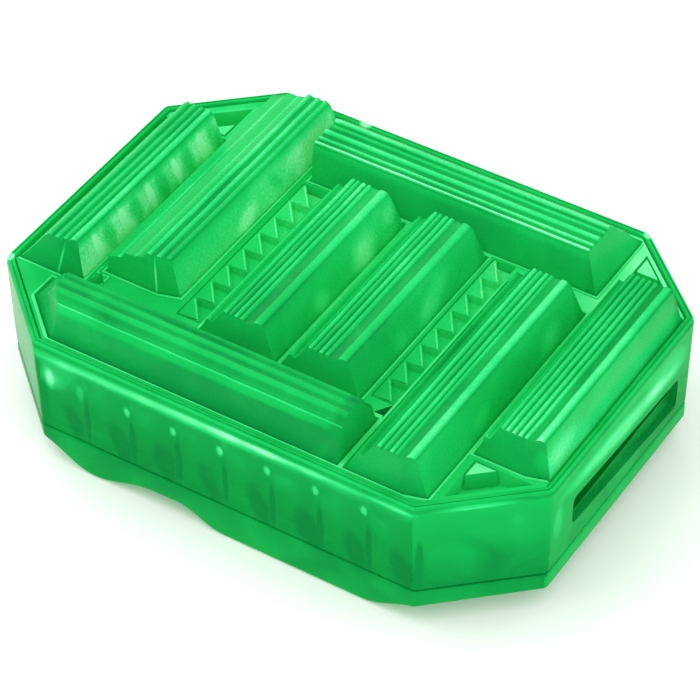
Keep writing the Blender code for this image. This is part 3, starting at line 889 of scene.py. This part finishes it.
def build_bar(node, material, seed):
    """A ribbed bar in its seat: near end upright, far end leaning in, edges moulded soft."""
    low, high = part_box(node)
    axis, _, _, _, gain, end_glow = BARS[node]
    along_y = axis == "Y"
    width = high.x - low.x if along_y else high.y - low.y
    length = high.y - low.y if along_y else high.x - low.x
    height = high.z - low.z
    section = bar_section(node, width, height)
    builder = bmesh.new()
    glow_layer = builder.verts.layers.float.new("section_glow")
    count = max(4, round(length / BAR_STATION))
    rings = []
    for k in range(count + 1):
        distance = length * k / count
        ring = []
        for across, rise, glow in section:
            if along_y:
                place = (high.x - across, low.y + distance, low.z + rise)
            else:
                place = (low.x + distance, low.y + across, low.z + rise)
            vertex = builder.verts.new(place)
            vertex[glow_layer] = light_along(distance, length, across, glow, gain, seed)
            ring.append(vertex)
        rings.append(ring)
    for near, far in zip(rings, rings[1:]):
        wall_between(builder, near, far)
    builder.faces.new(list(reversed(rings[0])))
    builder.faces.new(rings[-1])
    shelf = low.z + FOOT_HEIGHT
    if along_y:
        cut_away(builder, Vector((high.x - FACET_WIDTH, low.y, low.z)), Vector((FACET_SLOPE, -1, 0)))
        cut_away(builder, Vector((high.x, high.y, shelf)), Vector((0, 1, FAR_END_LEAN)))
    elif node == "bar_front":
        cut_y = low.y + FRONT_BAR_CUT * CHAMFER_Y / CHAMFER_X
        lean = FRONT_BAR_CUT_LEAN * CHAMFER_X
        cut_away(builder, Vector((low.x, cut_y, shelf)), Vector((-CHAMFER_Y, -CHAMFER_X, lean)))
        cut_away(builder, Vector((low.x, high.y, shelf)), Vector((-1, 0, FRONT_BAR_END_LEAN)))
    else:
        cut_away(builder, Vector((high.x, high.y, shelf)), Vector((1, 0, FAR_END_LEAN)))
    bar = mesh_from(node + "_ribbed", builder)
    wobble(bar.data, WOBBLE, WOBBLE_SCALE, seed)
    section_glow = bar.data.attributes["section_glow"].data
    layer = bar.data.attributes.new("glow", "FLOAT", "CORNER")
    for face in bar.data.polygons:
        is_end = len(face.vertices) > 6
        for loop in face.loop_indices:
            vertex = bar.data.loops[loop].vertex_index
            value = section_glow[vertex].value
            layer.data[loop].value = end_glow if is_end else value
    soften(bar, 0.14 * MM, 2, angle=50)
    return fit_in(bar, node, material, angle=50)


# --- strips, blocks and combs ---------------------------------------------------------------


def build_strip(node, material):
    """A strip whose raised teeth are right-angled triangles in plan, joined by a thin spine."""
    low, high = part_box(node)
    notch = low.x + STRIP_SPINE
    floor = high.z - STRIP_FLOOR_DROP
    pitch = (high.y - low.y) / STRIP_TEETH
    places = [low.y + k * pitch for k in range(STRIP_TEETH + 1)]
    builder = bmesh.new()
    left_under = [builder.verts.new((low.x, y, low.z)) for y in (places[0], places[-1])]
    left_top = [builder.verts.new((low.x, y, high.z)) for y in (places[0], places[-1])]
    right_under = [builder.verts.new((high.x, y, low.z)) for y in places]
    right_floor = [builder.verts.new((high.x, y, floor)) for y in places]
    tips = [builder.verts.new((high.x, y, high.z)) for y in places[:-1]]
    notch_top = [builder.verts.new((notch, y, high.z)) for y in places[1:]]
    notch_floor = [builder.verts.new((notch, y, floor)) for y in places[1:]]
    top = [left_top[0]]
    for k in range(STRIP_TEETH):
        top += [tips[k], notch_top[k]]
        builder.faces.new((tips[k], right_floor[k], notch_floor[k], notch_top[k]))
        builder.faces.new((right_floor[k], right_floor[k + 1], notch_floor[k]))
        if k + 1 < STRIP_TEETH:
            builder.faces.new((notch_top[k], notch_floor[k], right_floor[k + 1], tips[k + 1]))
        builder.faces.new((right_under[k], right_under[k + 1], right_floor[k + 1], right_floor[k]))
    top.append(left_top[1])
    builder.faces.new(top)
    builder.faces.new((left_under[0], left_under[1], left_top[1], left_top[0]))
    builder.faces.new((left_under[0], *right_under, left_under[1]))
    builder.faces.new((left_under[0], right_under[0], right_floor[0], tips[0], left_top[0]))
    far_end = (right_under[-1], right_floor[-1], notch_floor[-1], notch_top[-1])
    builder.faces.new((left_under[1], *far_end, left_top[1]))
    strip = mesh_from(node + "_cut", builder)
    rungs = []
    for k in range(STRIP_TEETH):
        tip = Vector((high.x - RUNG_INSET, places[k] + RUNG_INSET * 0.4))
        root = Vector((notch + RUNG_INSET * 0.2, places[k + 1] - RUNG_INSET * 1.4))
        side = (root - tip).normalized() * RUNG_WIDTH / 2
        side = Vector((-side.y, side.x))
        corners = [tuple(point) for point in (tip - side, tip + side, root + side, root - side)]
        rungs.append(prism(corners, high.z - SINK, high.z + RUNG_RISE))
    combine(strip, rungs, "UNION")

    # Painted light in the strip, lighter towards the far end, with painted highlights on the rungs.
    def glow(point, normal):
        along = (point.y - low.y) / (high.y - low.y)
        if normal.z > 0.5 and point.z < high.z - 0.5 * MM:
            return 0.36 + 0.42 * along
        if point.z > high.z + 0.5 * RUNG_RISE:
            return 0.58 + 0.34 * along
        if normal.z > 0.5:
            return 0.24 + 0.48 * along
        return 0.4 + 0.4 * along

    paint(strip, glow)
    soften(strip, 0.08 * MM, 2)
    return fit_in(strip, node, material)


def build_block(node, material):
    """The CAD wedge in a corner pocket, with its edges rounded off."""
    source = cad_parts[node].data
    builder = bmesh.new()
    builder.from_mesh(source)
    bmesh.ops.remove_doubles(builder, verts=builder.verts, dist=1e-6)
    bmesh.ops.dissolve_limit(
        builder, angle_limit=math.radians(2), verts=builder.verts, edges=builder.edges
    )
    block = mesh_from(node + "_wedge", builder)
    # Painted light on the wedge's top and painted shade on its sides.
    paint(block, lambda point, normal: 0.8 if normal.z > 0.9 else 0.22)
    soften(block, 0.15 * MM, 2)
    return fit_in(block, node, material)


def build_comb(node, material):
    """A rail with upright ribs whose tops are rounded, standing inside the wall."""
    low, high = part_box(node)
    rail_top = low.z + COMB_RAIL
    half = RIB_WIDTH / 2
    outline = [(low.x, low.z), (high.x, low.z), (high.x, rail_top)]
    for k in range(RIBS_EACH_SIDE, -RIBS_EACH_SIDE - 1, -1):
        middle = k * RIB_PITCH
        outline.append((middle + half + RIB_FOOT_RUN, rail_top))
        outline.append((middle + half, rail_top + RIB_FOOT_RISE))
        for step in range(RIB_TOP_STEPS + 1):
            angle = math.pi * step / RIB_TOP_STEPS
            outline.append((middle + half * math.cos(angle), high.z - half + half * math.sin(angle)))
        outline.append((middle - half, rail_top + RIB_FOOT_RISE))
        outline.append((middle - half - RIB_FOOT_RUN, rail_top))
    outline.append((low.x, rail_top))
    builder = bmesh.new()
    near = [builder.verts.new((x, low.y, z)) for x, z in outline]
    far = [builder.verts.new((x, high.y, z)) for x, z in outline]
    wall_between(builder, near, far)
    builder.faces.new(list(reversed(near)))
    builder.faces.new(far)
    comb = mesh_from(node + "_ribs", builder)
    # The broad faces keep some painted light; the sides and rounded tops are painted dark, the tops then
    # lit by the painted highlights in RIB_PATCHES.
    paint(comb, lambda point, normal: 0.42 if abs(normal.y) > 0.5 else 0.0)
    soften(comb, 0.12 * MM, 2)
    return fit_in(comb, node, material)


# --- stage, light and camera ----------------------------------------------------------------


def build_floor():
    builder = bmesh.new()
    bmesh.ops.create_grid(builder, x_segments=1, y_segments=1, size=3.0)
    floor = mesh_from("floor", builder)
    floor.location.z = BASE_LOW.z - 0.05 * MM
    material = bpy.data.materials.new("pale_floor")
    material.use_nodes = True
    shader = material.node_tree.nodes["Principled BSDF"]
    shader.inputs["Base Color"].default_value = (0.93, 0.94, 0.93, 1.0)
    shader.inputs["Roughness"].default_value = 0.7
    shader.inputs["Specular IOR Level"].default_value = 0.1
    floor.data.materials.append(material)


# Soft round lights: name, place in metres, diameter in metres, watts.
SOFT_LIGHTS = (
    ("key", (-0.26, -0.10, 0.50), 0.45, 1.0),
    ("back", (-0.45, 0.30, 0.25), 0.30, 0.2),
    ("fill", (0.45, -0.30, 0.30), 0.40, 0.9),
)
WORLD_LIGHT = 1.08


def add_soft_light(name, place, size, power):
    data = bpy.data.lights.new(name, "AREA")
    data.shape = "DISK"
    data.size = size
    data.energy = power
    lamp = bpy.data.objects.new(name, data)
    bpy.context.scene.collection.objects.link(lamp)
    lamp.location = place
    aim = Vector((0.0, 0.0, CASE_HIGH.z)) - lamp.location
    lamp.rotation_euler = aim.to_track_quat("-Z", "Y").to_euler()


def light_scene():
    world = bpy.data.worlds.new("studio")
    bpy.context.scene.world = world
    world.use_nodes = True
    background = world.node_tree.nodes["Background"]
    background.inputs["Color"].default_value = (1.0, 1.0, 1.0, 1.0)
    background.inputs["Strength"].default_value = WORLD_LIGHT
    for light in SOFT_LIGHTS:
        add_soft_light(*light)


CAMERA_AZIMUTH = math.radians(32.778)
CAMERA_ELEVATION = math.radians(43.066)
CAMERA_ROLL = math.radians(-0.734)
CAMERA_DISTANCE = 502.51 * MM
CAMERA_RIGHT = 0.529 * MM
CAMERA_UP = -9.633 * MM
CAMERA_LENS = 171.4
CAMERA_SENSOR = 36.0


def place_camera():
    data = bpy.data.cameras.new("camera")
    data.lens = CAMERA_LENS
    data.sensor_width = CAMERA_SENSOR
    data.clip_start = 0.01
    camera = bpy.data.objects.new("camera", data)
    bpy.context.scene.collection.objects.link(camera)
    back = Vector(
        (
            math.sin(CAMERA_AZIMUTH) * math.cos(CAMERA_ELEVATION),
            -math.cos(CAMERA_AZIMUTH) * math.cos(CAMERA_ELEVATION),
            math.sin(CAMERA_ELEVATION),
        )
    )
    level_right = Vector((math.cos(CAMERA_AZIMUTH), math.sin(CAMERA_AZIMUTH), 0.0))
    level_up = back.cross(level_right)
    right = level_right * math.cos(CAMERA_ROLL) + level_up * math.sin(CAMERA_ROLL)
    up = level_up * math.cos(CAMERA_ROLL) - level_right * math.sin(CAMERA_ROLL)
    aim = Vector((0.0, 0.0, CASE_HIGH.z))
    place = aim + back * CAMERA_DISTANCE + right * CAMERA_RIGHT + up * CAMERA_UP
    turned = Matrix((right, up, back)).transposed().to_4x4()
    camera.matrix_world = Matrix.Translation(place) @ turned
    bpy.context.scene.camera = camera


def main():
    place_camera()
    light_scene()
    build_floor()
    bpy.context.scene.view_settings.view_transform = "Standard"
    wall_patches = WALL_PATCHES + PANEL_PATCHES
    wall_plastic = clear_green(
        "wall_plastic", solid=None, gloss=0.015, roughness=0.16, grain=0.04, inner=0.02,
        patches=wall_patches,
    )
    base_plastic = clear_green(
        "base_plastic", solid=1.0, gloss=0.02, roughness=0.2, grain=0.05, inner=0.04
    )
    deck_plastic = clear_green(
        "deck_plastic", solid=1.0, gloss=0.08, roughness=0.2, grain=0.06, inner=0.15
    )
    bar_plastic = clear_green(
        "bar_plastic", solid=0.94, gloss=0.07, roughness=0.26, grain=0.07, inner=0.13,
        sparkle=0.4, patches=BAR_PATCHES,
    )
    strip_plastic = clear_green(
        "strip_plastic", solid=1.0, gloss=0.1, roughness=0.25, grain=0.1, inner=0.16, sparkle=0.4
    )
    rib_plastic = clear_green(
        "rib_plastic", solid=1.0, gloss=0.1, roughness=0.3, grain=0.05, inner=0.1,
        patches=RIB_PATCHES,
    )
    build_base(base_plastic)
    build_case(wall_plastic)
    build_deck(deck_plastic)
    for seed, node in enumerate(BARS):
        build_bar(node, bar_plastic, seed)
    for node in STRIPS:
        build_strip(node, strip_plastic)
    for node in CORNER_BLOCKS:
        build_block(node, deck_plastic)
    for node in ("rib_comb_front", "rib_comb_rear"):
        build_comb(node, rib_plastic)


main()
